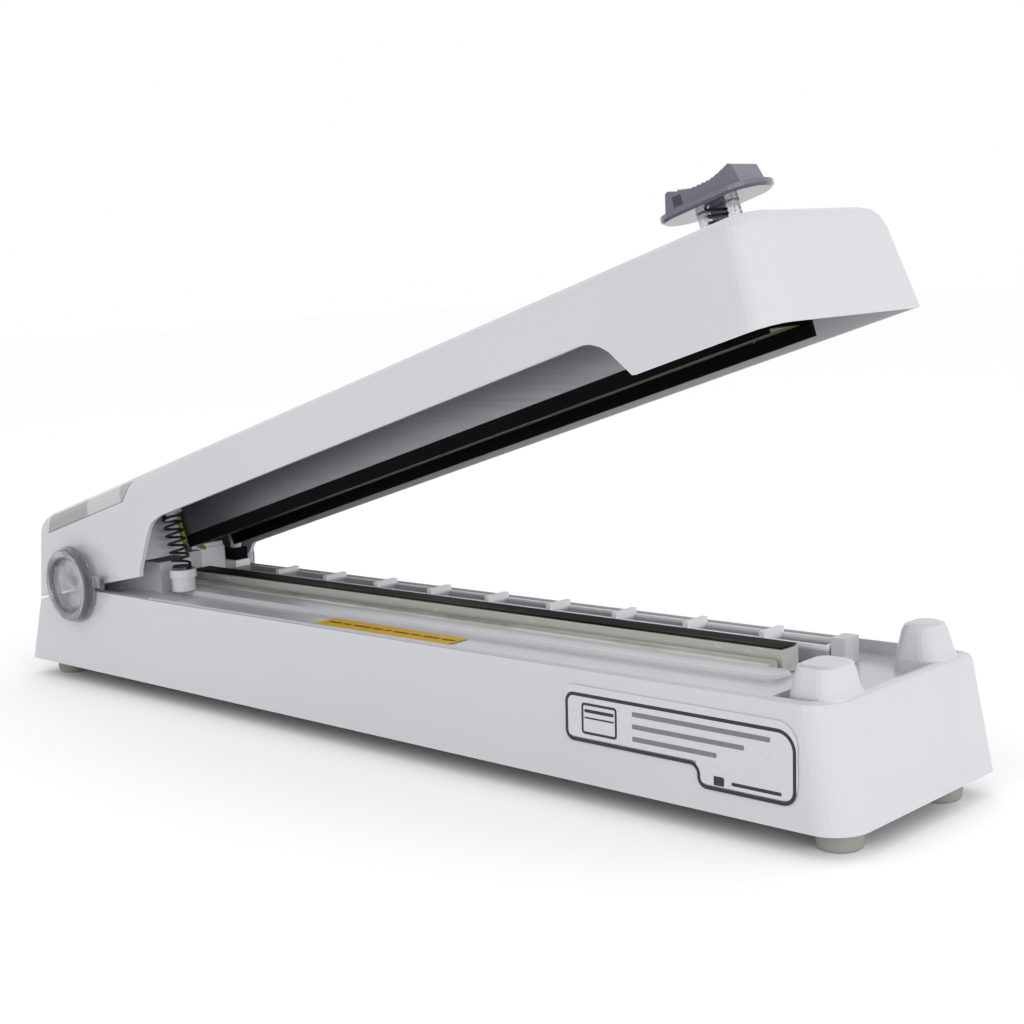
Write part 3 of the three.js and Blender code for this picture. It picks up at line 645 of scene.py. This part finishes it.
for side, body in ((-1, "plug_near"), (1, "plug_far")):
    node = "hinge_" + body
    disc = lathe(PLUG_PROFILE, (HINGE_X, side * PLUG_BACK, HINGE_Z), (0, side, 0), 96)
    blocks = []
    for bounds in (PLUG_TAB, PLUG_LOCK):
        corners, sides = box_mesh(*bounds)
        blocks.append(([(HINGE_X - side * x, side * y, HINGE_Z - side * z) for x, y, z in corners], sides))
    cap = build(f"{body}_cap", *merged(disc, *blocks), "cap", body)
    round_edges(cap, 0.45, segments=3, angle=50)
    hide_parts(node)

# Feet: turned rubber with a rounded heel and a screw in a counterbore.
FOOT_PROFILE = [
    (0.01, 9.0), (9.5, 9.0), (9.45, 7.5), (9.2, 3.2), (9.0, 1.4), (8.7, 0.6), (8.0, 0.08), (7.2, 0.0),
    (4.6, 0.0), (4.3, 0.3), (4.2, 3.4), (0.01, 3.4),
]
SCREW_PROFILE = [(0.01, 3.3), (3.4, 3.3), (3.4, 2.6), (2.8, 1.9), (0.01, 1.6)]
FOOT_SPOTS = [(264.9, 35.4), (264.9, -35.4), (-264.3, 35.4), (-264.3, -35.4)]
for i, (x, y) in enumerate(FOOT_SPOTS):
    pad = lathe(FOOT_PROFILE, (x, y, 0), (0, 0, 1), 56)
    foot = build(f"foot_pad_{i + 1}", *pad, "foot_rubber", "base")
    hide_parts(f"foot_{i + 1}")
    screw = lathe(SCREW_PROFILE, (x, y, 0), (0, 0, 1), 24)
    slots = [box_mesh(x - a, x + a, y - b, y + b, 1.4, 1.75) for a, b in ((2.0, 0.35), (0.35, 2.0))]
    head = build(f"foot_screw_{i + 1}", *screw, "steel", "base")
    cross = build(f"foot_screw_cross_{i + 1}", *merged(*slots), "black_plastic", "base")


# ---- printed labels: plain borders and bars, no lettering ----
PRINT_LIFT = 0.06         # face of the print above its label
PRINT_THICKNESS = 0.05
DECK_LABEL_TOP = 54.5
SIDE_Y, SIDE_Z = -53.92, 9.3    # a point on the side label, near the bottom of the wall
SIDE_SLOPE = 0.0469             # y per z, as the wall leans in
ARC_STEPS = 8                   # per rounded corner
TINY = 1e-6


def unit_step(here, there):
    """Unit step along X or Z between two corners, of which only x and z are read."""
    steps = [b - a for a, b in zip(here, there)]
    return Vector([math.copysign(1, step) if abs(step) > TINY else 0 for step in steps])


def outline(corners, inset):
    """Rounded loop, counter-clockwise, from corners (x, z, radius, sx, sz, bulge).

    sx and sz are the way a corner moves with the inset; bulge is False where it is a notch.
    """
    loop = []
    for i, (x, z, radius, sx, sz, bulge) in enumerate(corners):
        reach = radius - inset if bulge else radius + inset
        before = unit_step((x, z), corners[i - 1])
        after = unit_step((x, z), corners[(i + 1) % len(corners)])
        centre = Vector((x + sx * inset, z + sz * inset)) + (before + after) * reach
        for k in range(ARC_STEPS + 1):
            turn = k / ARC_STEPS * math.pi / 2
            loop.append(centre - after * reach * math.cos(turn) - before * reach * math.sin(turn))
    return loop


def on_side(loop, lift):
    """Points of a loop in XZ on the sloping near side of the base, lifted off it."""
    return [(p.x, SIDE_Y - lift + (p.y - SIDE_Z) * SIDE_SLOPE, p.y) for p in loop]


def on_deck_label(loop, lift):
    """Points of a loop in XY on the level deck label, lifted off it."""
    return [(p.x, p.y, DECK_LABEL_TOP + lift) for p in loop]


def band(name, outer, inner):
    """Black line between two loops on the side label, a hair thick."""
    count = len(outer)
    under = PRINT_LIFT - PRINT_THICKNESS
    points = on_side(outer, PRINT_LIFT) + on_side(inner, PRINT_LIFT)
    points += on_side(outer, under) + on_side(inner, under)
    faces = []
    for i in range(count):
        j = (i + 1) % count
        faces.append((i, j, count + j, count + i))
        faces.append((2 * count + i, 3 * count + i, 3 * count + j, 2 * count + j))
        faces.append((i, 2 * count + i, 2 * count + j, j))
        faces.append((count + i, count + j, 3 * count + j, 3 * count + i))
    piece = build(name, points, faces, "ink", "base")


def patch(name, loop, key, place, where="base"):
    """Flat printed patch inside one loop."""
    count = len(loop)
    points = place(loop, PRINT_LIFT) + place(loop, PRINT_LIFT - PRINT_THICKNESS)
    faces = [tuple(range(count)), tuple(reversed(range(count, 2 * count)))]
    faces += [(i, i + count, (i + 1) % count + count, (i + 1) % count) for i in range(count)]
    piece = build(name, points, faces, key, "base", where)


def rounded_box(x0, x1, z0, z1, radius):
    """Corners of a rectangle, for outline()."""
    return [
        (x1, z1, radius, -1, -1, True), (x0, z1, radius, 1, -1, True),
        (x0, z0, radius, 1, 1, True), (x1, z0, radius, -1, 1, True),
    ]


# Border of the side label, which follows its notched outline, and a plain frame for its symbol.
LABEL = [
    (259.2, 47.7, 9.0, -1, -1, True), (143.5, 47.7, 5.0, 1, -1, True), (143.5, 26.2, 5.0, 1, 1, True),
    (212.0, 26.2, 3.0, 1, 1, False), (212.0, 17.8, 5.0, 1, 1, True), (259.2, 17.8, 6.5, -1, 1, True),
]
FRAME = rounded_box(153.0, 172.0, 30.4, 43.4, 1.6)
band("label_border", outline(LABEL, 0.6), outline(LABEL, 2.1))
band("label_bag", outline(FRAME, 0.0), outline(FRAME, 1.1))

# Plain bars in place of the lettering.
SIDE_BARS = [
    (154.6, 170.4, 39.4, 40.8, "ink"), (154.6, 170.4, 36.9, 37.6, "ink"),
    (180.0, 247.0, 41.2, 43.2, "pale_grey"), (180.0, 235.0, 36.2, 38.2, "pale_grey"),
    (180.0, 222.0, 31.2, 33.2, "pale_grey"), (220.5, 225.5, 20.6, 24.2, "ink"),
    (229.0, 252.0, 21.7, 23.1, "ink"),
]
for i, (x0, x1, z0, z1, key) in enumerate(SIDE_BARS):
    loop = outline(rounded_box(x0, x1, z0, z1, min(0.6, (z1 - z0) / 2.2)), 0.0)
    patch(f"label_bar_{i + 1}", loop, key, on_side)

MARK_WIDTHS = (9, 5, 12, 7, 4, 10, 6, 11, 8)
MARK_GAP = 1.9
x = -21.0
for i, width in enumerate(MARK_WIDTHS):
    loop = outline(rounded_box(x, x + width, -40.6, -38.4, 0.6), 0.0)
    patch(f"deck_mark_{i + 1}", loop, "red_ink", on_deck_label, "deck")
    x += width + MARK_GAP

# ---- small fittings ----
# Contact pins of the mains inlet, in its recess.
PIN_SPOTS = ((-6.5, 25.2), (6.5, 25.2), (0, 29.0))
pins = [box_mesh(-277.5, -263.5, y - 1.0, y + 1.0, z - 2.0, z + 2.0) for y, z in PIN_SPOTS]
inlet_pins = build("inlet_pins", *merged(*pins), "steel", "base")
round_edges(inlet_pins, 0.4)

# Fluted timer knob with a raised pointer.
DIAL_X, DIAL_Y, DIAL_Z = -276.2, 32.0, 27.0    # where its axis meets the rear wall
DIAL_PROFILE = [(0.01, 3.15), (7.2, 3.15), (8.0, 2.9), (8.5, 2.2), (8.9, 0.5), (8.9, 0.05), (0.01, 0.05)]
DIAL_SIDES = 96
FLUTED_BEYOND = 7.5    # radius
FLUTE_DEPTH = 0.035    # share of the radius
flutes = []
for radius, along in DIAL_PROFILE:
    for k in range(DIAL_SIDES):
        turn = math.tau * k / DIAL_SIDES
        fluted = radius > FLUTED_BEYOND and k % 8 in (0, 1, 7)    # three of every eight sides
        reach = radius * (1 - FLUTE_DEPTH) if fluted else radius
        flutes.append((DIAL_X - along, DIAL_Y + reach * math.cos(turn), DIAL_Z + reach * math.sin(turn)))
faces = ring_faces(len(DIAL_PROFILE), DIAL_SIDES)
dial = build("dial_knob", flutes, faces, "black_plastic", "timer_dial", angle=40)
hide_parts("timer_dial")
pointer_box = box_mesh(-279.4, -279.3, 31.6, 32.4, 28.5, 34.0)
pointer = build("dial_pointer", *pointer_box, "part_white", "timer_dial")

# Finger ribs across the saddle of the knob, and a dark sheet painted as the shadow in the square pocket of
# its rear horn.
RIB_TOPS = [
    (-11.5, 129.75), (-9, 129.1), (-6.5, 128.5), (-4, 128.2), (-1.5, 128.2), (1, 128.2), (3.5, 128.2),
    (6, 128.4), (8.5, 128.95), (11, 129.6),
]
RIB_ENDS = (2.9, 3.3, 17.9, 18.3)    # y of the points of each rib, thin at both tips
rib_parts = []
for dx, top in RIB_TOPS:
    line = [(KNOB_X + dx, y, top) for y in RIB_ENDS]
    rib_parts.append(sweep(line, 0.75, swell=[0.35, 1, 1, 0.35]))
ribs = build("knob_ribs", *merged(*rib_parts), "clear_violet", "knob", "arm")
pocket_shadow_box = box_mesh(203.3, 207.9, 1.95, 2.15, 124.0, 128.2)
pocket = build("knob_pocket_shadow", *pocket_shadow_box, "pocket", "knob", "arm")
round_edges(pocket, 0.09)


# ---- floor and light ----
def softbox(name, place, aim, size, power):
    """Rectangular area light in metres and watts, turned to face the aim."""
    data = bpy.data.lights.new(name, "AREA")
    data.shape = "RECTANGLE"
    data.size, data.size_y = size
    data.energy = power
    lamp = bpy.data.objects.new(name, data)
    lamp.location = place
    lamp.rotation_euler = (Vector(aim) - Vector(place)).to_track_quat("-Z", "Y").to_euler()
    bpy.context.scene.collection.objects.link(lamp)
    return lamp


def make_stage():
    """Pale floor, even white surroundings, a wide light on the front and two strips for the corners."""
    mesh = bpy.data.meshes.new("floor")
    reach = 6.0
    square = [(-reach, -reach, 0), (reach, -reach, 0), (reach, reach, 0), (-reach, reach, 0)]
    mesh.from_pydata(square, [], [(0, 1, 2, 3)])
    floor = bpy.data.objects.new("floor", mesh)
    bpy.context.scene.collection.objects.link(floor)
    shade = Shade("floor_paint", Roughness=0.85)
    shade.colour(shade.mix(shade.noise(3, 3.0), (0.99, 0.99, 0.992), (0.978, 0.978, 0.98)))
    mesh.materials.append(shade.material)

    world = bpy.data.worlds.new("studio")
    bpy.context.scene.world = world
    world.use_nodes = True
    sky = world.node_tree.nodes["Background"]
    sky.inputs["Color"].default_value = (0.99, 0.995, 1.0, 1.0)
    sky.inputs["Strength"].default_value = 1.0

    front = softbox("front", (1.9, -0.3, 0.5), (0.25, 0, 0.1), (0.9, 0.6), 11)
    front.visible_glossy = False
    softbox("strip_near", (0.25, -1.7, 0.75), (0.2, 0, 0.15), (0.10, 1.3), 3.0)
    softbox("strip_front", (1.2, -1.5, 0.85), (0.25, 0, 0.15), (0.06, 1.2), 2.6)


make_stage()
